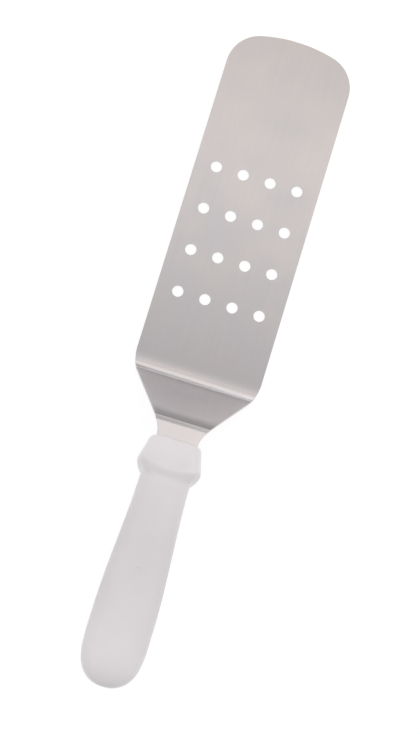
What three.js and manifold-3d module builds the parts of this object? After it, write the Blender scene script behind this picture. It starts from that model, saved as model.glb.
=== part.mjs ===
// Perforated offset griddle turner: a stainless blade stamped and folded from one sheet, whose tang
// runs into a white polypropylene handle that is moulded over it.
// Millimetres, +Z up. The blade's underside lies on z = 0, +Y points to the tip, and the origin is
// under the middle of the flat blade.
import * as THREE from "three";
import { mergeVertices } from "three/addons/utils/BufferGeometryUtils.js";
import Module from "manifold-3d";

const { degToRad, lerp, smoothstep } = THREE.MathUtils;

// Flat blade, measured from the tip to the line of the heel fold
const SHEET_THICKNESS = 1.2;
const BLADE_LENGTH = 205.4;
const BLADE_WIDTH = 73;
const TIP_CROWN_RADIUS = 85;
const TIP_CORNER_RADIUS = 20;

// Drain holes, in rows counted from the heel fold
const HOLE_DIAMETER = 6.4;
const HOLE_COLUMNS = 4;
const HOLE_ROWS = 4;
const HOLE_COLUMN_PITCH = 16;
const HOLE_ROW_PITCH = 25;
const HEEL_TO_FIRST_ROW = 46.6;

// Folds: the slope climbs from the heel, and the neck fold lowers it to the handle's own rise
const SLOPE_ANGLE = degToRad(45);
const SLOPE_LENGTH = 36.8;
const HANDLE_RISE = degToRad(17);
const HEEL_FOLD_RADIUS = 7;
const NECK_FOLD_RADIUS = 10;

// Taper of the heel down to the shank
const HEEL_TAPER_LEAD = 3.2; // the taper starts this far before the heel fold
const HEEL_CORNER_RADIUS = 28;
const SHANK_WIDTH = 23.4;
const SHANK_LENGTH = 12.4; // neck fold to the handle's front
const SHANK_STRAIGHT = 4.6; // the part of it with parallel sides
const SHANK_FILLET_RADIUS = 15;

// Tang inside the handle
const SHOULDER_DEPTH = 6; // how far the full shank goes into the handle
const TANG_WIDTH = 16;
const TANG_END_COVER = 36; // plastic from the tang's end to the butt
const LOCK_HOLE_DIAMETER = 7;
const LOCK_HOLE_COUNT = 3;
const LOCK_HOLE_MARGIN = 14; // from the shoulder and from the tang's end to the nearest lock hole
const SOCKET_CLEARANCE = 0.3;

// Handle, measured along its axis from the collar's front
const HANDLE_LENGTH = 138.7;
const COLLAR_SIDE_WALL = 2.75; // plastic beside the shank at the front
const COLLAR_FACE_WALL = 4.9; // plastic over and under the shank at the front
const COLLAR_LIP_RADIUS = 2;
const COLLAR_LENGTH = 15.2; // front to the ridge, at the sides
const COLLAR_RIDGE_WIDTH = 35.5;
const COLLAR_RIDGE_THICKNESS = 23.4;
const COLLAR_RIDGE_BOW = 5; // the ridge runs this much further back in the middle of the faces
const COLLAR_CHAMFER = 3.5;
const STEP_LENGTH = 7.6; // ridge down to the waist, at the sides
const FACE_STEP_LENGTH = 5.2; // the same on the faces, where it is steeper
const BOW_FADE_LENGTH = 25; // waist to where the bow has died out
const WAIST_WIDTH = 27.4;
const VALLEY_THICKNESS = 16; // the hollow across the faces, where the palm swell begins
const VALLEY_FROM_BUTT = 53.4;
const VALLEY_SOFTNESS = 0.25; // how much the round of the hollow lifts its bottom
const WAIST_FALL = degToRad(1.75); // slope of the faces from the waist to the hollow
const SWELL_CLIMB = degToRad(3); // slope of the faces from the hollow to the swell
const SWELL_WIDTH = 33.7;
const SWELL_FROM_BUTT = 37.9;
const PIN_MARK_DIAMETER = 3.2; // shallow round mark of a mould pin
const PIN_MARK_DEPTH = 0.3;
const PIN_MARK_FROM_BUTT = 61.3;

// Roundness of the handle's sections: 2 is an ellipse, more is squarer
const COLLAR_SQUARENESS = 9;
const GRIP_SQUARENESS = 2.7;
const BUTT_SQUARENESS = 4.5; // the same for the outlines that close at the butt

// Fineness of the facets
const ARC_STEPS = 8;
const HEEL_FOLD_STEPS = 10;
const NECK_FOLD_STEPS = 8;
const HOLE_SIDES = 32;
const SECTION_SIDES = 64;
const LIP_STEPS = 4;
const COLLAR_STEPS = 4;
const STEP_STEPS = 8;
const GRIP_STEPS = 18;
const BUTT_STEPS = 12;

const wasm = await Module();
wasm.setup();

// A closed geometry as a solid that can be cut.
function solidOf(geometry) {
  const bare = geometry.clone();
  bare.deleteAttribute("normal");
  bare.deleteAttribute("uv");
  const merged = mergeVertices(bare, 1e-4);
  return new wasm.Manifold(
    new wasm.Mesh({
      numProp: 3,
      vertProperties: merged.attributes.position.array,
      triVerts: new Uint32Array(merged.index.array),
    }),
  );
}

// The geometry of a solid, with flat normals.
function geometryOf(solid) {
  const { vertProperties, triVerts } = solid.getMesh();
  const indexed = new THREE.BufferGeometry();
  indexed.setAttribute("position", new THREE.BufferAttribute(vertProperties, 3));
  indexed.setIndex(new THREE.BufferAttribute(triVerts, 1));
  const geometry = indexed.toNonIndexed();
  geometry.computeVertexNormals();
  return geometry;
}

// Side view of the sheet: straight and bent stretches from the tip to the tang's end, at mid sheet.
// A fold's set-back is the length that its round takes from each of the two straight stretches.
const neckFoldAngle = SLOPE_ANGLE - HANDLE_RISE;
const heelMidRadius = HEEL_FOLD_RADIUS + SHEET_THICKNESS / 2;
const neckMidRadius = NECK_FOLD_RADIUS + SHEET_THICKNESS / 2;
const heelSetBack = heelMidRadius * Math.tan(SLOPE_ANGLE / 2);
const neckSetBack = neckMidRadius * Math.tan(neckFoldAngle / 2);
const tangLength = HANDLE_LENGTH - TANG_END_COVER;
const stretches = [
  { length: BLADE_LENGTH - heelSetBack, turn: 0, steps: 1 },
  { length: heelMidRadius * SLOPE_ANGLE, turn: SLOPE_ANGLE, steps: HEEL_FOLD_STEPS },
  { length: SLOPE_LENGTH - heelSetBack - neckSetBack, turn: 0, steps: 1 },
  { length: neckMidRadius * neckFoldAngle, turn: -neckFoldAngle, steps: NECK_FOLD_STEPS },
  { length: SHANK_LENGTH + tangLength - neckSetBack, turn: 0, steps: 1 },
];
const sheetLength = stretches.reduce((sum, stretch) => sum + stretch.length, 0);

// Distances along the unfolded sheet from the tip
const heelFoldAt = stretches[0].length + stretches[1].length / 2;
const collarAt = sheetLength - tangLength;
const shoulderAt = collarAt + SHOULDER_DEPTH;
const taperStartsAt = heelFoldAt - HEEL_TAPER_LEAD;
const taperEndsAt = collarAt - SHANK_STRAIGHT;

// Where a point of the unfolded sheet lies once it is folded: x across, l along, n off the mid sheet.
// A point past the end of the sheet goes on in the direction of the last stretch.
function folded(x, l, n) {
  let y = BLADE_LENGTH / 2;
  let z = SHEET_THICKNESS / 2;
  let climb = 0;
  let left = l;
  for (const [i, { length, turn }] of stretches.entries()) {
    const run = i === stretches.length - 1 ? left : Math.min(left, length);
    const turned = (turn * run) / length;
    const chord = turned === 0 ? run : (2 * run * Math.sin(turned / 2)) / turned;
    y -= chord * Math.cos(climb + turned / 2);
    z += chord * Math.sin(climb + turned / 2);
    climb += turned;
    left -= run;
    if (left <= 0) break;
  }
  return new THREE.Vector3(x, y + n * Math.sin(climb), z + n * Math.cos(climb));
}

// Adds a line to a path up to a corner and rounds that corner towards the next point.
function roundCorner(path, from, corner, to, radius) {
  const back = from.clone().sub(corner).normalize();
  const ahead = to.clone().sub(corner).normalize();
  const halfAngle = Math.acos(back.dot(ahead)) / 2;
  const middle = back.clone().add(ahead).normalize();
  const centre = corner.clone().addScaledVector(middle, radius / Math.sin(halfAngle));
  const reach = radius / Math.tan(halfAngle);
  const start = corner.clone().addScaledVector(back, reach).sub(centre);
  const end = corner.clone().addScaledVector(ahead, reach).sub(centre);
  const clockwise = start.cross(end) < 0;
  path.absarc(centre.x, centre.y, radius, start.angle(), end.angle(), clockwise);
}

// Right half of the unfolded sheet's outline, from the tip to the tang's end, grown by a clearance.
function sheetOutline(grow) {
  const bladeHalf = BLADE_WIDTH / 2 + grow;
  const shankHalf = SHANK_WIDTH / 2 + grow;
  const tangHalf = TANG_WIDTH / 2 + grow;
  const cornerX = bladeHalf - TIP_CORNER_RADIUS;
  const crownToCorner = TIP_CROWN_RADIUS - TIP_CORNER_RADIUS;
  const cornerAngle = Math.asin(cornerX / crownToCorner);
  const cornerAt = TIP_CROWN_RADIUS - crownToCorner * Math.cos(cornerAngle);
  const side = new THREE.Vector2(bladeHalf, cornerAt);
  const heel = new THREE.Vector2(bladeHalf, taperStartsAt);
  const neck = new THREE.Vector2(shankHalf, taperEndsAt);
  const shoulder = new THREE.Vector2(shankHalf, shoulderAt + grow);

  const path = new THREE.Path();
  path.absarc(0, TIP_CROWN_RADIUS, TIP_CROWN_RADIUS, -Math.PI / 2, cornerAngle - Math.PI / 2, false);
  path.absarc(cornerX, cornerAt, TIP_CORNER_RADIUS, cornerAngle - Math.PI / 2, 0, false);
  roundCorner(path, side, heel, neck, HEEL_CORNER_RADIUS);
  roundCorner(path, heel, neck, shoulder, SHANK_FILLET_RADIUS);
  path.lineTo(shoulder.x, shoulder.y);
  path.lineTo(tangHalf, shoulder.y);
  path.lineTo(tangHalf, sheetLength + grow);
  return path.getPoints(ARC_STEPS);
}

// A regular polygon of points round a hole.
function holePoints(x, l, radius) {
  return Array.from({ length: HOLE_SIDES }, (_, i) => {
    const angle = (2 * Math.PI * (i + 0.5)) / HOLE_SIDES;
    return new THREE.Vector2(x + radius * Math.cos(angle), l + radius * Math.sin(angle));
  });
}

function drainHoles() {
  const holes = [];
  for (let row = 0; row < HOLE_ROWS; row++)
    for (let column = 0; column < HOLE_COLUMNS; column++) {
      const x = (column - (HOLE_COLUMNS - 1) / 2) * HOLE_COLUMN_PITCH;
      const l = BLADE_LENGTH - HEEL_TO_FIRST_ROW - row * HOLE_ROW_PITCH;
      holes.push(holePoints(x, l, HOLE_DIAMETER / 2));
    }
  return holes;
}

function lockHoles(grow) {
  const first = shoulderAt + LOCK_HOLE_MARGIN;
  const last = sheetLength - LOCK_HOLE_MARGIN;
  return Array.from({ length: LOCK_HOLE_COUNT }, (_, i) => {
    const l = lerp(first, last, i / (LOCK_HOLE_COUNT - 1));
    return holePoints(0, l, LOCK_HOLE_DIAMETER / 2 - grow);
  });
}

// The folded sheet as a closed geometry, grown all round by a clearance.
function sheetGeometry(grow, holes) {
  const half = SHEET_THICKNESS / 2 + grow;
  const positions = [];
  const triangle = (...corners) => corners.forEach((p) => positions.push(p.x, p.y, p.z));
  const top = (p) => folded(p.x, p.y, half);
  const under = (p) => folded(p.x, p.y, -half);

  // Lines across the sheet where a fold starts, turns a step further or ends
  const cuts = [];
  let reached = 0;
  for (const { length, turn, steps } of stretches) {
    if (turn !== 0) for (let i = 0; i <= steps; i++) cuts.push(reached + (length * i) / steps);
    reached += length;
  }

  // Right edge with a point on each of those lines
  const edge = sheetOutline(grow);
  for (const cut of cuts) {
    const next = edge.findIndex((p) => p.y > cut);
    const share = (cut - edge[next - 1].y) / (edge[next].y - edge[next - 1].y);
    if (share > 0) edge.splice(next, 0, edge[next - 1].clone().lerp(edge[next], share).setY(cut));
  }
  const mirrored = (p) => new THREE.Vector2(-p.x, p.y);

  // Top and underside, one band between two lines at a time
  const limits = [-Infinity, ...cuts, Infinity];
  for (let i = 1; i < limits.length; i++) {
    const right = edge.filter((p) => p.y >= limits[i - 1] && p.y <= limits[i]);
    const left = right.filter((p) => p.x > 0).map(mirrored).reverse();
    const band = [...right, ...left];
    const inside = holes.filter((hole) => hole.every((p) => p.y > limits[i - 1] && p.y < limits[i]));
    const points = [band, ...inside].flat();
    for (const [a, b, c] of THREE.ShapeUtils.triangulateShape(band, inside)) {
      triangle(top(points[a]), top(points[c]), top(points[b]));
      triangle(under(points[a]), under(points[b]), under(points[c]));
    }
  }

  // Cut edges of the outline and of the holes
  const loop = [...edge, ...edge.filter((p) => p.x > 0).map(mirrored).reverse()];
  for (const ring of [loop, ...holes.map((hole) => [...hole].reverse())])
    ring.forEach((p, i) => {
      const q = ring[(i + 1) % ring.length];
      triangle(top(p), top(q), under(q));
      triangle(top(p), under(q), under(p));
    });

  const geometry = new THREE.BufferGeometry();
  geometry.setAttribute("position", new THREE.Float32BufferAttribute(positions, 3));
  geometry.computeVertexNormals();
  return geometry;
}

// Places along the handle, from the collar's front to the butt
const waistAt = COLLAR_LENGTH + STEP_LENGTH;
const valleyAt = HANDLE_LENGTH - VALLEY_FROM_BUTT;
const swellAt = HANDLE_LENGTH - SWELL_FROM_BUTT;

// How far the grip has taken over from the collar: 0 up to the ridge, 1 from the waist on.
const gripShare = (at) => smoothstep(at, COLLAR_LENGTH, waistAt);

// The rounded butt closes both outlines.
function buttClosing(at) {
  const share = Math.max(0, (at - swellAt) / SWELL_FROM_BUTT);
  return Math.sqrt(Math.max(0, 1 - share ** BUTT_SQUARENESS));
}

function handleHalfWidth(at) {
  const front = SHANK_WIDTH / 2 + COLLAR_SIDE_WALL;
  const collar = lerp(front, COLLAR_RIDGE_WIDTH / 2, Math.min(1, at / COLLAR_LENGTH));
  const grip = lerp(WAIST_WIDTH / 2, SWELL_WIDTH / 2, smoothstep(at, waistAt, swellAt));
  return lerp(collar, grip, gripShare(at)) * buttClosing(at);
}

function handleHalfThickness(at) {
  const front = SHEET_THICKNESS / 2 + COLLAR_FACE_WALL;
  const collar = lerp(front, COLLAR_RIDGE_THICKNESS / 2, Math.min(1, at / COLLAR_LENGTH));
  const fall = (valleyAt - at) * Math.tan(WAIST_FALL);
  const climb = (at - valleyAt) * Math.tan(SWELL_CLIMB);
  const lift = (fall + climb + Math.hypot(fall - climb, 2 * VALLEY_SOFTNESS)) / 2;
  const grip = VALLEY_THICKNESS / 2 + lift;
  const faceShare = smoothstep(at, COLLAR_LENGTH, COLLAR_LENGTH + FACE_STEP_LENGTH);
  return lerp(collar, grip, faceShare) * buttClosing(at);
}

// One section of the handle: a squarish oval whose collar end has chamfered corners. The middle of its
// faces lies further back by the bow. inset draws the whole section in, as the round of the lip does.
function handleSection(at, inset = 0) {
  const halfWidth = handleHalfWidth(at) - inset;
  const halfThickness = handleHalfThickness(at) - inset;
  const squareness = lerp(COLLAR_SQUARENESS, GRIP_SQUARENESS, gripShare(at));
  const chamferShare = 1 - gripShare(at);
  const chamferReach = halfWidth + halfThickness - chamferShare * COLLAR_CHAMFER;
  const bowRise = smoothstep(at, COLLAR_LIP_RADIUS, COLLAR_LENGTH);
  const bowFade = 1 - smoothstep(at, waistAt, waistAt + BOW_FADE_LENGTH);
  const bow = COLLAR_RIDGE_BOW * bowRise * bowFade;
  return Array.from({ length: SECTION_SIDES }, (_, i) => {
    const angle = (2 * Math.PI * i) / SECTION_SIDES;
    const across = Math.abs(Math.cos(angle));
    const up = Math.abs(Math.sin(angle));
    const chamfer = (across * halfWidth + up * halfThickness) / chamferReach;
    const sum = across ** squareness + up ** squareness + chamferShare * chamfer ** squareness;
    const size = sum ** (-1 / squareness);
    const share = size * Math.cos(angle);
    const back = at + bow * (1 - share ** 2);
    return new THREE.Vector3(share * halfWidth, -back, size * Math.sin(angle) * halfThickness);
  });
}

// The handle without its socket, in its own frame: its axis runs along -Y from the collar's front.
function handleGeometry() {
  const sections = [];
  for (let i = 0; i < LIP_STEPS; i++) {
    const turn = (Math.PI / 2) * (i / LIP_STEPS);
    const at = COLLAR_LIP_RADIUS * (1 - Math.cos(turn));
    sections.push(handleSection(at, COLLAR_LIP_RADIUS * (1 - Math.sin(turn))));
  }
  const stretch = (from, to, steps) => {
    for (let i = 0; i < steps; i++) sections.push(handleSection(lerp(from, to, i / steps)));
  };
  stretch(COLLAR_LIP_RADIUS, COLLAR_LENGTH, COLLAR_STEPS);
  stretch(COLLAR_LENGTH, waistAt, STEP_STEPS);
  stretch(waistAt, swellAt, GRIP_STEPS);
  for (let i = 0; i < BUTT_STEPS; i++)
    sections.push(handleSection(swellAt + SWELL_FROM_BUTT * Math.sin((Math.PI / 2) * (i / BUTT_STEPS))));

  const front = new THREE.Vector3(0, 0, 0);
  const butt = new THREE.Vector3(0, -HANDLE_LENGTH, 0);
  const positions = [];
  const triangle = (...corners) => corners.forEach((p) => positions.push(p.x, p.y, p.z));
  for (let i = 0; i < SECTION_SIDES; i++) {
    const j = (i + 1) % SECTION_SIDES;
    triangle(front, sections[0][j], sections[0][i]);
    for (let s = 1; s < sections.length; s++) {
      const [before, after] = [sections[s - 1], sections[s]];
      triangle(before[i], before[j], after[j]);
      triangle(before[i], after[j], after[i]);
    }
    const last = sections[sections.length - 1];
    triangle(last[i], last[j], butt);
  }
  const geometry = new THREE.BufferGeometry();
  geometry.setAttribute("position", new THREE.Float32BufferAttribute(positions, 3));
  return geometry;
}

// The pin that left its mark on the upper face.
function pinGeometry() {
  const at = HANDLE_LENGTH - PIN_MARK_FROM_BUTT;
  const radius = PIN_MARK_DIAMETER / 2;
  const pin = new THREE.CylinderGeometry(radius, radius, 2 * PIN_MARK_DEPTH, HOLE_SIDES);
  return pin.rotateX(Math.PI / 2).translate(0, -at, handleHalfThickness(at));
}

function makeBlade() {
  const steel = new THREE.MeshStandardMaterial({ color: 0xc8c2c1, roughness: 0.35, metalness: 1 });
  const geometry = sheetGeometry(0, [...drainHoles(), ...lockHoles(0)]);
  const mesh = new THREE.Mesh(geometry, steel);
  mesh.name = "blade";
  return mesh;
}

function makeHandle() {
  const plastic = new THREE.MeshStandardMaterial({ color: 0xe6e4e3, roughness: 0.45, metalness: 0 });
  const mesh = new THREE.Mesh(new THREE.BufferGeometry(), plastic);
  mesh.name = "handle";
  mesh.position.copy(folded(0, collarAt, 0));
  mesh.rotation.x = -HANDLE_RISE;
  mesh.updateMatrixWorld();
  const tang = sheetGeometry(SOCKET_CLEARANCE, lockHoles(SOCKET_CLEARANCE));
  tang.applyMatrix4(mesh.matrixWorld.clone().invert());
  const body = solidOf(handleGeometry()).subtract(solidOf(tang)).subtract(solidOf(pinGeometry()));
  mesh.geometry = geometryOf(body);
  return mesh;
}

const turner = new THREE.Group();
turner.name = "turner";
turner.add(makeBlade(), makeHandle());

export default turner;
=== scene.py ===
"""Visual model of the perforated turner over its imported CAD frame, and the studio that it is shown in.

Metres, +Z up: the blade's underside lies on z = 0 and +Y points to the tip.
"""
import logging
import math
from abc import ABC, abstractmethod
from collections.abc import Callable, Iterable
from dataclasses import dataclass
from enum import Enum
from typing import ClassVar

import bmesh
import bpy
from mathutils import Matrix, Vector


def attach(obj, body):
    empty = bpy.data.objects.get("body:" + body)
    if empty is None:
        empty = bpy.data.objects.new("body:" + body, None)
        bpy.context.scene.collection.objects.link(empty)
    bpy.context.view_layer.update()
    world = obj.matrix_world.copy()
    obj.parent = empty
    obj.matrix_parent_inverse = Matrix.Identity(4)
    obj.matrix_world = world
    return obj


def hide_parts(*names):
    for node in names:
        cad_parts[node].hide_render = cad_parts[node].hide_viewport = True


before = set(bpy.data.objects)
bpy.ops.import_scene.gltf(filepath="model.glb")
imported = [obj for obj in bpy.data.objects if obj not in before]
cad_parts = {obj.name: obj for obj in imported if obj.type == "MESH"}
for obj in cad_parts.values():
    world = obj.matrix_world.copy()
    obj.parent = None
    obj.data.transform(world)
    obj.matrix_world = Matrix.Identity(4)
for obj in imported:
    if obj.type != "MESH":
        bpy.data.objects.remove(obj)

MM = 0.001
SHARP_ANGLE = math.radians(50)
PUNCH_SIDES = 64
TINY = 1e-6
# A noise texture stays mostly within the wide span. The narrow one leaves plain patches between clouds.
NOISE_SPAN = {"From Min": 0.25, "From Max": 0.75}
CLOUD_SPAN = {"From Min": 0.3, "From Max": 0.7}
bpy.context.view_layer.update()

log = logging.getLogger("turner")


class Node(Enum):
    """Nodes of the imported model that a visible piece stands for."""

    BLADE = "blade"
    HANDLE = "handle"


class Slot(Enum):
    """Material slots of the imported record."""

    STEEL = "stainless_steel"
    PLASTIC = "white_polypropylene"


def linear(code: str) -> tuple[float, float, float, float]:
    """Turn an sRGB colour code into the linear colour that a shader takes.

    Args:
        code: Hex colour such as "#c8c2c1".

    Returns:
        Linear red, green and blue, and an alpha of 1.
    """
    parts = [int(code[i : i + 2], 16) / 255 for i in (1, 3, 5)]
    red, green, blue = (p / 12.92 if p <= 0.04045 else ((p + 0.055) / 1.055) ** 2.4 for p in parts)
    return red, green, blue, 1.0


def share(value: float, start: float, end: float) -> float:
    """How far a value has gone from start to end, kept between 0 and 1."""
    return min(1.0, max(0.0, (value - start) / (end - start)))


def eased(value: float, start: float, end: float) -> float:
    """The same share with a soft start and a soft end."""
    part = share(value, start, end)
    return part * part * (3 - 2 * part)


def mixed(low: float, high: float, part: float) -> float:
    """The value that lies a share of the way from low to high."""
    return low + (high - low) * part


def new_tree(owner: bpy.types.Material | bpy.types.World) -> bpy.types.NodeTree:
    """Give a material or world an empty node tree and return it."""
    owner.use_nodes = True
    owner.node_tree.nodes.clear()
    return owner.node_tree


def add_node(
    tree: bpy.types.NodeTree, kind: str, inputs: dict[str | int, object] | None = None, **settings: object
) -> bpy.types.Node:
    """Add a node with its settings and its links.

    Args:
        tree: Node tree that takes the node.
        kind: Type of the node without the "ShaderNode" in front.
        inputs: For an input's name or number, its value or the socket that it is linked from.
        **settings: The node's own properties.

    Returns:
        The new node.
    """
    node = tree.nodes.new("ShaderNode" + kind)
    for name, value in settings.items():
        setattr(node, name, value)
    for name, value in (inputs or {}).items():
        if isinstance(value, bpy.types.NodeSocket):
            tree.links.new(value, node.inputs[name])
        else:
            node.inputs[name].default_value = value
    return node


def select_only(wanted: Callable[[Vector], bool]) -> None:
    """Select the vertices of the mesh in edit mode that pass a test, and no others.

    Args:
        wanted: Takes a vertex's place and says whether it is selected.
    """
    mesh = bpy.context.edit_object.data
    edited = bmesh.from_edit_mesh(mesh)
    for vertex in edited.verts:
        vertex.select = wanted(vertex.co)
    edited.select_flush_mode()
    bmesh.update_edit_mesh(mesh)


def added(name: str) -> bpy.types.Object:
    """Name the object that an operator has just added, and return it."""
    piece = bpy.context.active_object
    piece.name = piece.data.name = name
    return piece


def apply_modifier(piece: bpy.types.Object, kind: str, **settings: object) -> None:
    """Add a modifier to a piece and apply it.

    Args:
        piece: The piece, in object mode.
        kind: Type of the modifier.
        **settings: The modifier's properties.
    """
    modifier = piece.modifiers.new(kind.title(), kind)
    for name, value in settings.items():
        setattr(modifier, name, value)
    bpy.context.view_layer.objects.active = piece
    bpy.ops.object.modifier_apply(modifier=modifier.name)


def punch(
    piece: bpy.types.Object, diameter: float, depth: float, places: Iterable[Vector], lean: float = 0
) -> None:
    """Cut round holes into a piece.

    Args:
        piece: The piece, in object mode.
        diameter: Diameter of the holes.
        depth: Length of the punch, half of it on each side of its place.
        places: Middle of the punch for each hole.
        lean: Angle by which the punches lean from upright towards +Y.
    """
    cutters = []
    for place in places:
        bpy.ops.mesh.primitive_cylinder_add(
            vertices=PUNCH_SIDES,
            radius=diameter / 2,
            depth=depth,
            location=place,
            rotation=(-lean, 0, 0),
        )
        cutters.append(bpy.context.active_object)
    for cutter in cutters:
        cutter.select_set(True)
    if len(cutters) > 1:
        bpy.ops.object.join()
    cutter = bpy.context.active_object
    apply_modifier(piece, "BOOLEAN", operation="DIFFERENCE", solver="EXACT", object=cutter)
    bpy.data.objects.remove(cutter)


@dataclass(frozen=True)
class SatinStainless:
    """Cold-rolled stainless sheet, ground along its length with a fine belt before it is stamped.

    The belt's grain spreads highlights across the blade, so the sheet looks silky with faint streaks.
    Handling leaves broad smudges that hardly show and a few hair scratches.
    """

    colour: str = "#cbc5c4"
    smudge_colour: str = "#c6c2c4"
    roughness: float = 0.29
    roughness_spread: float = 0.012
    anisotropy: float = 0.8
    # The real grain is about 0.05 mm wide, too fine to show, so it is drawn wider.
    grain_width: float = 0.55 * MM
    grain_length: float = 40 * MM
    grain_depth: float = 0.0012 * MM
    streak_contrast: float = 0.03
    smudge_size: float = 26 * MM
    scratch_width: float = 0.3 * MM
    scratch_length: float = 14 * MM
    scratch_lean: float = math.radians(24)
    scratch_from: float = 0.72
    scratch_full: float = 0.8
    scratch_contrast: float = 0.06

    def material(self) -> bpy.types.Material:
        """Make the material. Its grain follows the unfolded sheet, whose UV map is in metres.

        Returns:
            The finish as a Blender material.
        """
        material = bpy.data.materials.new("belt_ground_stainless")
        tree = new_tree(material)
        sheet = add_node(tree, "TexCoord").outputs["UV"]
        tangent = add_node(tree, "Tangent", direction_type="UV_MAP").outputs[0]
        grain_at = add_node(
            tree,
            "VectorMath",
            {0: sheet, 1: (1 / self.grain_width, 1 / self.grain_length, 1)},
            operation="MULTIPLY",
        )
        grain = add_node(
            tree, "TexNoise", {"Vector": grain_at.outputs[0], "Scale": 1.0, "Detail": 3.0, "Roughness": 0.6}
        ).outputs[0]
        smudge = add_node(
            tree, "TexNoise", {"Vector": sheet, "Scale": 1 / self.smudge_size, "Detail": 2.0}
        ).outputs[0]
        scratch_at = add_node(
            tree,
            "Mapping",
            {
                "Vector": sheet,
                "Rotation": (0, 0, self.scratch_lean),
                "Scale": (1 / self.scratch_width, 1 / self.scratch_length, 1),
            },
        )
        scratch_noise = add_node(
            tree, "TexNoise", {"Vector": scratch_at.outputs[0], "Scale": 1.0, "Detail": 1.0}
        )
        scratch = add_node(
            tree,
            "MapRange",
            {
                "Value": scratch_noise.outputs[0],
                "From Min": self.scratch_from,
                "From Max": self.scratch_full,
                "To Max": self.scratch_contrast,
            },
        ).outputs[0]
        smudging = add_node(tree, "MapRange", {"Value": smudge, **CLOUD_SPAN})
        smudged = add_node(
            tree,
            "MixRGB",
            {0: smudging.outputs[0], 1: linear(self.colour), 2: linear(self.smudge_colour)},
        )
        streak = add_node(
            tree,
            "MapRange",
            {
                "Value": grain,
                **NOISE_SPAN,
                "To Min": 1 - self.streak_contrast,
                "To Max": 1 + self.streak_contrast,
            },
        )
        lit = add_node(tree, "Math", {0: streak.outputs[0], 1: scratch}, operation="ADD")
        colour = add_node(
            tree, "VectorMath", {0: smudged.outputs[0], 1: lit.outputs[0]}, operation="MULTIPLY"
        )
        roughness = add_node(
            tree,
            "MapRange",
            {
                "Value": smudge,
                **NOISE_SPAN,
                "To Min": self.roughness - self.roughness_spread,
                "To Max": self.roughness + self.roughness_spread,
            },
        )
        bump = add_node(tree, "Bump", {"Height": grain, "Strength": 1.0, "Distance": self.grain_depth})
        shader = add_node(
            tree,
            "BsdfPrincipled",
            {
                "Base Color": colour.outputs[0],
                "Metallic": 1.0,
                "Roughness": roughness.outputs[0],
                "Anisotropic": self.anisotropy,
                "Tangent": tangent,
                "Normal": bump.outputs[0],
            },
        )
        add_node(tree, "OutputMaterial", {"Surface": shader.outputs[0]})
        return material


@dataclass(frozen=True)
class MouldedPolypropylene:
    """White polypropylene as it leaves a finely spark-eroded mould.

    The mould's grain breaks the gloss into a satin sheen, light goes a little way into the plastic and
    softens its shading, and the shrinking plastic leaves the faces very slightly wavy. The middle of the
    grip is painted darker, as painted shade where it leans away from the light, and faint clouds of darker
    tone lie over the whole handle.
    """

    colour: str = "#e4e0e2"
    # The grip's middle is painted darker with the next colour, round the place and over the spans below it:
    # painted shade where the grip leans away from the light.
    grip_shade_colour: str = "#d6d2d4"
    grip_shade_middle: float = -203 * MM
    grip_shade_half: float = 14 * MM
    grip_shade_fade: float = 46 * MM
    cloud_size: float = 26 * MM
    cloud_share: float = 0.3
    roughness: float = 0.34
    roughness_spread: float = 0.05
    # The real grain is about 0.05 mm, too fine to show, so it is drawn coarser.
    grain_size: float = 0.5 * MM
    grain_depth: float = 0.006 * MM
    wave_size: float = 17 * MM
    wave_depth: float = 0.03 * MM
    glow_depth: float = 1.2 * MM
    glow_share: float = 0.12
    glow_spread: tuple[float, float, float] = (1.0, 0.9, 0.85)

    def material(self) -> bpy.types.Material:
        """Make the material.

        Returns:
            The finish as a Blender material.
        """
        material = bpy.data.materials.new("moulded_white_polypropylene")
        tree = new_tree(material)
        place = add_node(tree, "TexCoord").outputs["Object"]
        cloud = add_node(
            tree, "TexNoise", {"Vector": place, "Scale": 1 / self.cloud_size, "Detail": 3.0}
        ).outputs[0]
        wave = add_node(
            tree, "TexNoise", {"Vector": place, "Scale": 1 / self.wave_size, "Detail": 0.0}
        ).outputs[0]
        grain = add_node(
            tree, "TexNoise", {"Vector": place, "Scale": 1 / self.grain_size, "Detail": 2.0}
        ).outputs[0]
        along = add_node(tree, "SeparateXYZ", {0: place}).outputs["Y"]
        apart = add_node(tree, "Math", {0: along, 1: self.grip_shade_middle}, operation="SUBTRACT").outputs[0]
        off = add_node(tree, "Math", {0: apart}, operation="ABSOLUTE").outputs[0]
        # Painted shade: full in the middle of the grip, fading out towards the collar and the butt.
        grip_shade = add_node(
            tree,
            "MapRange",
            {
                "Value": off,
                "From Min": self.grip_shade_half + self.grip_shade_fade,
                "From Max": self.grip_shade_half,
                "To Max": 1 - self.cloud_share,
            },
            interpolation_type="SMOOTHSTEP",
        ).outputs[0]
        clouds = add_node(
            tree, "MapRange", {"Value": cloud, **CLOUD_SPAN, "To Max": self.cloud_share}
        ).outputs[0]
        # Painted shade of the grip's middle plus random clouds of darker tone.
        grip_shade_and_clouds = add_node(tree, "Math", {0: grip_shade, 1: clouds}, operation="ADD").outputs[0]
        colour = add_node(
            tree, "MixRGB", {0: grip_shade_and_clouds, 1: linear(self.colour), 2: linear(self.grip_shade_colour)}
        )
        roughness = add_node(
            tree,
            "MapRange",
            {
                "Value": cloud,
                **NOISE_SPAN,
                "To Min": self.roughness + self.roughness_spread,
                "To Max": self.roughness - self.roughness_spread,
            },
        )
        waves = add_node(tree, "Bump", {"Height": wave, "Strength": 1.0, "Distance": self.wave_depth})
        bump = add_node(
            tree,
            "Bump",
            {"Height": grain, "Strength": 1.0, "Distance": self.grain_depth, "Normal": waves.outputs[0]},
        )
        shader = add_node(
            tree,
            "BsdfPrincipled",
            {
                "Base Color": colour.outputs[0],
                "Roughness": roughness.outputs[0],
                "Subsurface Weight": self.glow_share,
                "Subsurface Radius": self.glow_spread,
                "Subsurface Scale": self.glow_depth,
                "Normal": bump.outputs[0],
            },
        )
        add_node(tree, "OutputMaterial", {"Surface": shader.outputs[0]})
        return material


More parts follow.
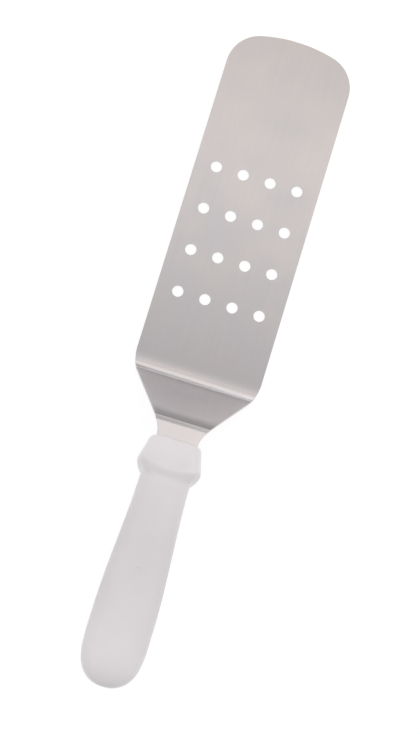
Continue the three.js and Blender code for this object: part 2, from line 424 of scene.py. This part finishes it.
@dataclass
class Piece(ABC):
    """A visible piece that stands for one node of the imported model."""

    node: ClassVar[Node]
    slot: ClassVar[Slot]

    @abstractmethod
    def build(self) -> bpy.types.Object:
        """Model the piece at the origin, with its place in its mesh, and return it."""

    def dress(self, piece: bpy.types.Object, finish: bpy.types.Material) -> None:
        """Smooth the built mesh, give it its finish and tie it to the frame.

        Args:
            piece: The built piece.
            finish: Its material.
        """
        bpy.ops.object.select_all(action="DESELECT")
        piece.select_set(True)
        bpy.context.view_layer.objects.active = piece
        bpy.ops.object.shade_smooth_by_angle(angle=SHARP_ANGLE)
        apply_modifier(piece, "WEIGHTED_NORMAL", keep_sharp=True, weight=100)
        piece.data.materials.clear()
        piece.data.materials.append(finish)
        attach(piece, "root")
        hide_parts(self.node.value)
        log.info("%s: %d faces, finish %s", piece.name, len(piece.data.polygons), finish.name)


@dataclass
class Blade(Piece):
    """The stamped sheet: perforated blade, slope, shank and the tang inside the handle."""

    node: ClassVar[Node] = Node.BLADE
    slot: ClassVar[Slot] = Slot.STEEL
    thickness: float = 1.2 * MM
    length: float = 205.4 * MM
    width: float = 73 * MM
    crown_radius: float = 85 * MM
    corner_radius: float = 20 * MM
    hole_diameter: float = 6.4 * MM
    hole_columns: int = 4
    hole_rows: int = 4
    column_pitch: float = 16 * MM
    row_pitch: float = 25 * MM
    heel_to_first_row: float = 46.6 * MM
    slope_angle: float = math.radians(45)
    slope_length: float = 36.8 * MM
    handle_rise: float = math.radians(17)
    heel_fold_radius: float = 7 * MM
    neck_fold_radius: float = 10 * MM
    # The press bends the sheet a little before and after each fold proper, so the slope bows, and leaves
    # a ledge between two creases in the neck fold.
    fold_lead: float = 6.2 * MM
    heel_lead_angle: float = math.radians(3.2)
    slope_bow: float = math.radians(1.8)
    neck_lead_angle: float = math.radians(2.6)
    neck_crease: float = 0.7 * MM
    ledge_length: float = 2 * MM
    ledge_angle: float = math.radians(32.3)
    taper_lead: float = 3.2 * MM
    heel_corner_radius: float = 28 * MM
    shank_width: float = 23.4 * MM
    shank_length: float = 12.4 * MM
    shank_straight: float = 4.6 * MM
    shank_fillet_radius: float = 15 * MM
    shoulder_depth: float = 6 * MM
    tang_width: float = 16 * MM
    tang_length: float = 102.7 * MM
    lock_hole_diameter: float = 7 * MM
    lock_hole_margin: float = 14 * MM
    edge_round: float = 0.35 * MM
    arc_steps: int = 20
    least_row_gap: float = 0.02 * MM

    def __post_init__(self) -> None:
        """Work out the punch, the folds and the other places along the unfolded sheet, from the tip."""
        self.punch_length = 4 * self.thickness
        neck_angle = self.slope_angle - self.handle_rise
        heel_radius = self.heel_fold_radius + self.thickness / 2
        neck_radius = self.neck_fold_radius + self.thickness / 2
        heel_back = heel_radius * math.tan(self.slope_angle / 2)
        neck_back = neck_radius * math.tan(neck_angle / 2)
        self.heel_from = self.length - heel_back
        self.heel_to = self.heel_from + heel_radius * self.slope_angle
        self.neck_from = self.heel_to + self.slope_length - heel_back - neck_back
        self.neck_to = self.neck_from + neck_radius * neck_angle
        self.collar_at = self.neck_to + self.shank_length - neck_back
        self.shoulder_at = self.collar_at + self.shoulder_depth
        self.end_at = self.collar_at + self.tang_length
        self.taper_from = (self.heel_from + self.heel_to) / 2 - self.taper_lead
        self.taper_to = self.collar_at - self.shank_straight
        self.taper = math.atan((self.width - self.shank_width) / 2 / (self.taper_to - self.taper_from))
        corner_to_crown = self.crown_radius - self.corner_radius
        self.corner_turn = math.asin((self.width / 2 - self.corner_radius) / corner_to_crown)
        self.corner_at = self.crown_radius - corner_to_crown * math.cos(self.corner_turn)
        self.crown_to = self.crown_radius * (1 - math.cos(self.corner_turn))
        self.heel_arc_from = self.taper_from - self.heel_corner_radius * math.tan(self.taper / 2)
        self.heel_arc_to = self.heel_arc_from + self.heel_corner_radius * math.sin(self.taper)
        self.neck_arc_to = self.taper_to + self.shank_fillet_radius * math.tan(self.taper / 2)
        self.neck_arc_from = self.neck_arc_to - self.shank_fillet_radius * math.sin(self.taper)
        # Each bend: where it starts and ends along the sheet, how far the sheet turns in it, and a power
        # that is 1 for a round bend, more for one that tightens and less for one that eases.
        ledge_from = self.neck_to - self.ledge_length
        crease_from = ledge_from - self.neck_crease
        crease_angle = self.slope_angle - self.neck_lead_angle
        heel_turn = self.slope_angle - self.heel_lead_angle - self.slope_bow
        neck_lead = self.neck_lead_angle + self.slope_bow
        self.bends = (
            (self.heel_from - self.fold_lead, self.heel_from, self.heel_lead_angle, 2),
            (self.heel_from, self.heel_to, heel_turn, 1),
            (self.heel_to, self.heel_to + self.fold_lead, 2 * self.slope_bow, 1),
            (self.neck_from - self.fold_lead, crease_from, -neck_lead, 0.5),
            (crease_from, ledge_from, self.ledge_angle - crease_angle, 1),
            (self.neck_to, self.neck_to + self.neck_crease, self.handle_rise - self.ledge_angle, 1),
        )

    def climb(self, along: float) -> float:
        """Angle at which the folded sheet climbs, at a distance from the tip."""
        return sum(turn * share(along, start, end) ** power for start, end, turn, power in self.bends)

    def half_width(self, along: float) -> float:
        """Half the width of the sheet, at a distance from the tip.

        Args:
            along: Distance from the tip on the unfolded sheet.

        Returns:
            Distance from the sheet's middle to its edge.
        """
        half, shank = self.width / 2, self.shank_width / 2
        if along < self.crown_to:
            return math.sqrt(self.crown_radius**2 - (self.crown_radius - along) ** 2)
        if along < self.corner_at:
            reach = math.sqrt(self.corner_radius**2 - (self.corner_at - along) ** 2)
            return half - self.corner_radius + reach
        if along < self.heel_arc_from:
            return half
        if along < self.heel_arc_to:
            reach = math.sqrt(self.heel_corner_radius**2 - (along - self.heel_arc_from) ** 2)
            return half - self.heel_corner_radius + reach
        if along < self.neck_arc_from:
            return half - (along - self.taper_from) * math.tan(self.taper)
        if along < self.neck_arc_to:
            reach = math.sqrt(self.shank_fillet_radius**2 - (self.neck_arc_to - along) ** 2)
            return shank + self.shank_fillet_radius - reach
        return shank if along <= self.shoulder_at else self.tang_width / 2

    def rows(self) -> list[float]:
        """Places along the unfolded sheet that get a row of vertices, from the tip."""
        rows = []
        for i in range(self.arc_steps + 1):
            turn = self.corner_turn * (i + 1) / (self.arc_steps + 1)
            rows.append(self.crown_radius * (1 - math.cos(turn)))
            turn = mixed(self.corner_turn, math.pi / 2, i / self.arc_steps)
            rows.append(self.corner_at - self.corner_radius * math.cos(turn))
        arcs = ((self.heel_arc_from, self.heel_arc_to), (self.neck_arc_from, self.neck_arc_to))
        for start, end in arcs + tuple(bend[:2] for bend in self.bends):
            rows += [mixed(start, end, i / self.arc_steps) for i in range(self.arc_steps + 1)]
        rows += [self.collar_at, self.shoulder_at, self.shoulder_at + self.thickness / 2, self.end_at]
        rows = sorted(rows)
        apart = [row for row, after in zip(rows, rows[1:]) if after - row > self.least_row_gap]
        return apart + rows[-1:]

    def place(self, along: float) -> Vector:
        """Middle of the folded sheet, at a distance from the tip."""
        point = Vector((0, self.length / 2, self.thickness / 2))
        reached = 0.0
        for row in [row for row in self.rows() if row < along] + [along]:
            climb = self.climb((reached + row) / 2)
            point += (row - reached) * Vector((0, -math.cos(climb), math.sin(climb)))
            reached = row
        return point

    def build(self) -> bpy.types.Object:
        """Draw the flat sheet row by row, fold it, thicken it, punch it and round its edges.

        Returns:
            The blade.
        """
        rows = self.rows()
        first, second = rows[:2]
        start = self.length / 2 - (first + second) / 2
        bpy.ops.mesh.primitive_plane_add(size=1, location=(0, 0, 0))
        blade = added("turner_blade")
        bpy.ops.object.mode_set(mode="EDIT")
        bpy.ops.transform.resize(value=(2 * self.half_width(first), second - first, 1))
        bpy.ops.transform.translate(value=(0, start, self.thickness / 2))
        select_only(lambda place: place.y < start)
        self._set_width(first, second)
        for before, after in zip(rows[1:], rows[2:]):
            bpy.ops.mesh.extrude_region_move(TRANSFORM_OT_translate={"value": (0, before - after, 0)})
            self._set_width(before, after)
        bpy.ops.mesh.select_all(action="SELECT")
        bpy.ops.mesh.normals_make_consistent(inside=False)
        bpy.ops.uv.cube_project(cube_size=1.0, correct_aspect=False, scale_to_bounds=False)
        self._fold(rows)
        bpy.ops.object.mode_set(mode="OBJECT")
        apply_modifier(blade, "SOLIDIFY", thickness=self.thickness, offset=0, use_even_offset=True)
        punch(blade, self.hole_diameter, self.punch_length, self._drain_holes())
        punch(blade, self.lock_hole_diameter, self.punch_length, self._lock_holes(), self.handle_rise)
        apply_modifier(
            blade,
            "BEVEL",
            width=self.edge_round,
            segments=2,
            limit_method="ANGLE",
            angle_limit=SHARP_ANGLE,
        )
        return blade

    def _set_width(self, before: float, after: float) -> None:
        """Give the selected row, which has the width of the row before, the width at its own place."""
        ratio = self.half_width(after) / self.half_width(before)
        bpy.ops.transform.resize(value=(ratio, 1, 1), center_override=(0, 0, 0))

    def _fold(self, rows: list[float]) -> None:
        """Fold the flat sheet along its rows, each time turning all that lies beyond the row.

        Args:
            rows: Places of the rows from the tip.
        """
        for before, row, after in zip(rows, rows[1:], rows[2:]):
            climb = self.climb((before + row) / 2)
            turn = self.climb((row + after) / 2) - climb
            if abs(turn) < TINY:
                continue
            hinge = self.place(row)
            onward = Vector((0, -math.cos(climb), math.sin(climb)))
            select_only(lambda place: (place - hinge).dot(onward) > -TINY)
            bpy.ops.transform.rotate(value=turn, orient_axis="X", center_override=hinge)

    def _drain_holes(self) -> list[Vector]:
        """Middles of the drain holes."""
        return [
            Vector((
                (column - (self.hole_columns - 1) / 2) * self.column_pitch,
                self.heel_to_first_row + row * self.row_pitch - self.length / 2,
                self.thickness / 2,
            ))
            for row in range(self.hole_rows)
            for column in range(self.hole_columns)
        ]

    def _lock_holes(self) -> list[Vector]:
        """Middles of the lock holes in the tang."""
        first = self.shoulder_at + self.lock_hole_margin
        last = self.end_at - self.lock_hole_margin
        return [self.place(along) for along in (first, (first + last) / 2, last)]


@dataclass
class Handle(Piece):
    """The moulded handle, built in its own frame: its axis runs along -Y from the collar's front."""

    blade: Blade
    node: ClassVar[Node] = Node.HANDLE
    slot: ClassVar[Slot] = Slot.PLASTIC
    length: float = 138.7 * MM
    side_wall: float = 2.75 * MM
    face_wall: float = 4.9 * MM
    lip_radius: float = 2 * MM
    collar_length: float = 15.2 * MM
    ridge_width: float = 35.5 * MM
    ridge_thickness: float = 23.4 * MM
    ridge_bow: float = 5 * MM
    chamfer: float = 3.5 * MM
    step_length: float = 7.6 * MM
    face_step_length: float = 5.2 * MM
    bow_fade: float = 25 * MM
    waist_width: float = 27.4 * MM
    valley_thickness: float = 16 * MM
    valley_from_butt: float = 53.4 * MM
    valley_softness: float = 0.25 * MM
    waist_fall: float = math.radians(1.75)
    swell_climb: float = math.radians(3)
    swell_width: float = 33.7 * MM
    swell_from_butt: float = 37.9 * MM
    pin_diameter: float = 3.2 * MM
    pin_depth: float = 0.15 * MM
    pin_from_butt: float = 61.3 * MM
    collar_squareness: float = 9
    grip_squareness: float = 2.7
    butt_squareness: float = 4.5
    sides: int = 128
    lip_steps: int = 8
    collar_steps: int = 12
    step_steps: int = 24
    grip_steps: int = 60
    butt_steps: int = 40

    def __post_init__(self) -> None:
        """Work out the places along the handle, from the collar's front."""
        self.waist_at = self.collar_length + self.step_length
        self.valley_at = self.length - self.valley_from_butt
        self.swell_at = self.length - self.swell_from_butt

    def half_sizes(self, at: float) -> tuple[float, float]:
        """Half the handle's width and thickness, at a distance from the collar's front.

        Args:
            at: Distance along the axis.

        Returns:
            Half width and half thickness.
        """
        flare = share(at, 0, self.collar_length)
        grip = eased(at, self.collar_length, self.waist_at)
        face_grip = eased(at, self.collar_length, self.collar_length + self.face_step_length)
        closing = math.sqrt(1 - share(at, self.swell_at, self.length) ** self.butt_squareness)
        collar_width = mixed(self.blade.shank_width / 2 + self.side_wall, self.ridge_width / 2, flare)
        grip_width = mixed(self.waist_width, self.swell_width, eased(at, self.waist_at, self.swell_at)) / 2
        collar_face = mixed(self.blade.thickness / 2 + self.face_wall, self.ridge_thickness / 2, flare)
        fall = (self.valley_at - at) * math.tan(self.waist_fall)
        rise = (at - self.valley_at) * math.tan(self.swell_climb)
        lift = (fall + rise + math.hypot(fall - rise, 2 * self.valley_softness)) / 2
        grip_face = self.valley_thickness / 2 + lift
        half_width = mixed(collar_width, grip_width, grip)
        half_thickness = mixed(collar_face, grip_face, face_grip)
        return half_width * closing, half_thickness * closing

    def section(self, at: float, inset: float = 0) -> list[Vector]:
        """One section of the handle: a squarish oval with chamfered corners at the collar end.

        Args:
            at: Distance of the section's sides along the axis. The middle of its faces lies further back.
            inset: How far the whole section is drawn in.

        Returns:
            Points round the section, from the top.
        """
        half_width, half_thickness = (half - inset for half in self.half_sizes(at))
        grip = eased(at, self.collar_length, self.waist_at)
        power = mixed(self.collar_squareness, self.grip_squareness, grip)
        reach = half_width + half_thickness - self.chamfer * (1 - grip)
        bow = self.ridge_bow * eased(at, self.lip_radius, self.collar_length)
        bow *= 1 - eased(at, self.waist_at, self.waist_at + self.bow_fade)
        points = []
        for i in range(self.sides):
            turn = math.pi / 2 + 2 * math.pi * i / self.sides
            across, up = math.cos(turn), math.sin(turn)
            corner = (abs(across) * half_width + abs(up) * half_thickness) / reach
            size = (abs(across) ** power + abs(up) ** power + (1 - grip) * corner**power) ** (-1 / power)
            back = at + bow * (1 - (size * across) ** 2)
            points.append(Vector((size * across * half_width, -back, size * up * half_thickness)))
        return points

    def sections(self) -> list[list[Vector]]:
        """All sections of the handle, from the collar's front to the butt."""
        made = []
        for i in range(self.lip_steps):
            turn = math.pi / 2 * i / self.lip_steps
            inset = self.lip_radius * (1 - math.sin(turn))
            made.append(self.section(self.lip_radius * (1 - math.cos(turn)), inset))
        for start, end, count in (
            (self.lip_radius, self.collar_length, self.collar_steps),
            (self.collar_length, self.waist_at, self.step_steps),
            (self.waist_at, self.swell_at, self.grip_steps),
        ):
            made += [self.section(mixed(start, end, i / count)) for i in range(count)]
        for i in range(self.butt_steps):
            part = math.sin(math.pi / 2 * i / self.butt_steps)
            made.append(self.section(mixed(self.swell_at, self.length, part)))
        return made

    def build(self) -> bpy.types.Object:
        """Draw the handle out ring by ring, press in the pin's mark and set it on the tang.

        Returns:
            The handle.
        """
        sections = self.sections()
        bpy.ops.mesh.primitive_circle_add(
            vertices=self.sides, radius=self.side_wall, fill_type="NGON", rotation=(math.pi / 2, 0, 0)
        )
        handle = added("turner_handle")
        bpy.ops.object.transform_apply(location=True, rotation=True, scale=True)
        bpy.ops.object.mode_set(mode="EDIT")
        bpy.ops.mesh.select_all(action="SELECT")
        self._shape_ring(sections[0])
        for section in sections[1:]:
            bpy.ops.mesh.extrude_region_move(TRANSFORM_OT_translate={"value": (0, -self.lip_radius, 0)})
            self._shape_ring(section)
        bpy.ops.object.mode_set(mode="OBJECT")
        pin_at = self.length - self.pin_from_butt
        face = self.half_sizes(pin_at)[1]
        punch(handle, self.pin_diameter, 2 * self.pin_depth, [Vector((0, -pin_at, face))])
        bpy.context.view_layer.objects.active = handle
        bpy.ops.object.mode_set(mode="EDIT")
        bpy.ops.mesh.select_all(action="SELECT")
        bpy.ops.transform.rotate(value=self.blade.handle_rise, orient_axis="X", center_override=(0, 0, 0))
        bpy.ops.transform.translate(value=self.blade.place(self.blade.collar_at))
        bpy.ops.object.mode_set(mode="OBJECT")
        return handle

    def _shape_ring(self, section: list[Vector]) -> None:
        """Move the corners of the selected end face to the points of a section."""
        mesh = bpy.context.edit_object.data
        edited = bmesh.from_edit_mesh(mesh)
        end = next(face for face in edited.faces if face.select)
        for vertex, point in zip(end.verts, section):
            vertex.co = point
        bmesh.update_edit_mesh(mesh)


@dataclass(frozen=True)
class SkyLevel:
    """Light of the studio at one angle from the zenith.

    Attributes:
        angle: Angle from the zenith in degrees.
        front: Radiance on the side of the blade's tip.
        back: Radiance on the side of the handle.
        warmth: Share by which red is stronger, and blue weaker, on the side of the tip.
    """

    angle: float
    front: float
    back: float
    warmth: float = 0


@dataclass(frozen=True)
class Softbox:
    """A square softbox that faces the tool.

    Attributes:
        angle: Angle from the zenith in degrees.
        turn: Angle from +Y towards +X in degrees.
        radiance: Radiance of its face.
        distance: Distance from the middle of the table.
        size: Length of its side.
        mirrored: Whether shiny surfaces show it.
    """

    angle: float
    turn: float
    radiance: float
    distance: float = 0.8
    size: float = 0.35
    mirrored: bool = True

    def build(self) -> None:
        """Hang the softbox."""
        angle, turn = math.radians(self.angle), math.radians(self.turn)
        place = self.distance * Vector((
            math.sin(angle) * math.sin(turn),
            math.sin(angle) * math.cos(turn),
            math.cos(angle),
        ))
        facing = place.to_track_quat("Z", "Y").to_euler()
        bpy.ops.object.light_add(type="AREA", location=place, rotation=facing)
        bpy.context.active_object.visible_glossy = self.mirrored
        light = bpy.context.active_object.data
        light.shape = "SQUARE"
        light.size = self.size
        light.energy = self.radiance * math.pi * self.size**2


@dataclass
class Studio:
    """White table, soft light and the camera of the photo."""

    grid_middle: Vector
    aim_right: float = 5.88 * MM
    aim_back: float = 73.29 * MM
    distance: float = 0.95
    side_tilt: float = math.radians(1.0)
    forward_tilt: float = math.radians(6.81)
    roll: float = math.radians(17.04)
    lens: float = 82.98
    sensor_width: float = 36
    table_size: float = 0.8
    table_drop: float = 0.2 * MM
    table_colour: str = "#c8c8c8"
    table_seen_colour: str = "#6c6c6c"
    table_white: float = 0.89
    table_glow: float = 0.63
    brightest: float = 2.0
    side_blend: float = 0.6
    sky: tuple[SkyLevel, ...] = (
        SkyLevel(0, 0.02, 0.02),
        SkyLevel(5, 0.15, 0.29, -0.14),
        SkyLevel(10, 0.39, 0.55, -0.13),
        SkyLevel(15, 1.87, 0.74, 0.01),
        SkyLevel(20, 0.50, 0.80, 0.13),
        SkyLevel(28, 1.12, 0.81, 0.02),
        SkyLevel(38, 1.44, 0.72, 0.02),
        SkyLevel(50, 1.12, 0.53),
        SkyLevel(62, 0.29, 0.50),
        SkyLevel(72, 0.02, 0.80),
        SkyLevel(78, 1.68, 0.97),
        SkyLevel(83, 1.30, 0.94, -0.03),
        SkyLevel(87, 0.02, 0.77),
        SkyLevel(92, 0.02, 0.57),
    )
    softboxes: tuple[Softbox, ...] = (
        Softbox(60, 25, 2.5),
        Softbox(73, -90, 1.65, size=0.5, mirrored=False),
        Softbox(73, 90, 1.35, size=0.5, mirrored=False),
    )

    def build(self) -> None:
        """Make the table, the light and the camera."""
        self._table()
        self._sky()
        for softbox in self.softboxes:
            softbox.build()
        self._camera()

    def _table(self) -> None:
        """Lay the table top, white to the camera with a trace of the object's shadow on it."""
        bpy.ops.mesh.primitive_plane_add(size=self.table_size, location=(0, 0, -self.table_drop))
        table = added("table_top")
        material = bpy.data.materials.new("white_paper")
        tree = new_tree(material)
        rays = add_node(tree, "LightPath").outputs
        seen = rays["Is Camera Ray"]
        shade = add_node(
            tree, "MixRGB", {0: seen, 1: linear(self.table_colour), 2: linear(self.table_seen_colour)}
        )
        paper = add_node(tree, "BsdfDiffuse", {"Color": shade.outputs[0]})
        mirrored = add_node(
            tree, "Math", {0: rays["Is Glossy Ray"], 1: self.table_glow}, operation="MULTIPLY"
        )
        strength = add_node(
            tree, "Math", {0: seen, 1: self.table_white, 2: mirrored.outputs[0]}, operation="MULTIPLY_ADD"
        )
        glow = add_node(tree, "Emission", {"Strength": strength.outputs[0]})
        mix = add_node(tree, "AddShader", {0: paper.outputs[0], 1: glow.outputs[0]})
        add_node(tree, "OutputMaterial", {"Surface": mix.outputs[0]})
        table.data.materials.append(material)

    def _sky(self) -> None:
        """Light the scene from a soft sky, white where the camera looks past the table."""
        world = bpy.data.worlds.new("studio")
        bpy.context.scene.world = world
        tree = new_tree(world)
        direction = add_node(tree, "TexCoord").outputs["Object"]
        height = add_node(tree, "SeparateXYZ", {0: direction}).outputs["Z"]
        angle = add_node(tree, "Math", {0: height}, operation="ARCCOSINE").outputs[0]
        lowest = self.sky[-1].angle
        down = add_node(tree, "MapRange", {"Value": angle, "From Max": math.radians(lowest)}).outputs[0]
        flat = add_node(tree, "VectorMath", {0: direction, 1: (1, 1, 0)}, operation="MULTIPLY").outputs[0]
        turn = add_node(tree, "VectorMath", {0: flat}, operation="NORMALIZE").outputs[0]
        ahead = add_node(tree, "SeparateXYZ", {0: turn}).outputs["Y"]
        in_front = add_node(
            tree,
            "MapRange",
            {"Value": ahead, "From Min": -self.side_blend, "From Max": self.side_blend},
            interpolation_type="SMOOTHSTEP",
        ).outputs[0]
        back = [(level.back,) * 3 for level in self.sky]
        front = [
            (level.front * (1 + level.warmth), level.front, level.front * (1 - level.warmth))
            for level in self.sky
        ]
        sides = []
        for colours in (back, front):
            profile = add_node(tree, "ValToRGB", {0: down})
            stops = profile.color_ramp.elements
            for level in self.sky[1:-1]:
                stops.new(level.angle / lowest)
            for stop, colour in zip(stops, colours):
                stop.color = (*[part / self.brightest for part in colour], 1)
            sides.append(profile.outputs[0])
        sky = add_node(tree, "MixRGB", {0: in_front, 1: sides[0], 2: sides[1]}).outputs[0]
        seen = add_node(tree, "LightPath").outputs["Is Camera Ray"]
        white = (*[1 / self.brightest] * 3, 1)
        shown = add_node(tree, "MixRGB", {0: seen, 1: sky, 2: white})
        light = add_node(tree, "Background", {"Color": shown.outputs[0], "Strength": self.brightest})
        add_node(tree, "OutputWorld", {"Surface": light.outputs[0]})

    def _camera(self) -> None:
        """Set the camera where the photo was taken from."""
        onward = Vector((
            math.sin(self.side_tilt) * math.cos(self.forward_tilt),
            math.sin(self.forward_tilt),
            -math.cos(self.forward_tilt) * math.cos(self.side_tilt),
        )).normalized()
        along = Vector((0, 1, 0))
        along = (along - along.dot(onward) * onward).normalized()
        across = onward.cross(along)
        right = math.cos(self.roll) * across + math.sin(self.roll) * along
        up = math.cos(self.roll) * along - math.sin(self.roll) * across
        data = bpy.data.cameras.new("camera")
        data.sensor_width = self.sensor_width
        data.lens = self.lens
        camera = bpy.data.objects.new("camera", data)
        bpy.context.scene.collection.objects.link(camera)
        aim = self.grid_middle + Vector((self.aim_right, -self.aim_back, 0))
        facing = Matrix((right, up, -onward)).transposed().to_4x4()
        camera.matrix_world = Matrix.Translation(aim - onward * self.distance) @ facing
        bpy.context.scene.camera = camera


def main() -> None:
    """Build the turner and its studio."""
    logging.basicConfig(level=logging.INFO, format="%(message)s")
    bpy.ops.object.select_all(action="DESELECT")
    blade = Blade()
    blade.dress(blade.build(), SatinStainless().material())
    handle = Handle(blade=blade)
    handle.dress(handle.build(), MouldedPolypropylene().material())
    half_grid = (blade.hole_rows - 1) / 2 * blade.row_pitch
    middle = blade.heel_to_first_row + half_grid - blade.length / 2
    Studio(grid_middle=Vector((0, middle, blade.thickness))).build()
    bpy.context.scene.view_settings.view_transform = "Standard"


if __name__ == "__main__":
    main()
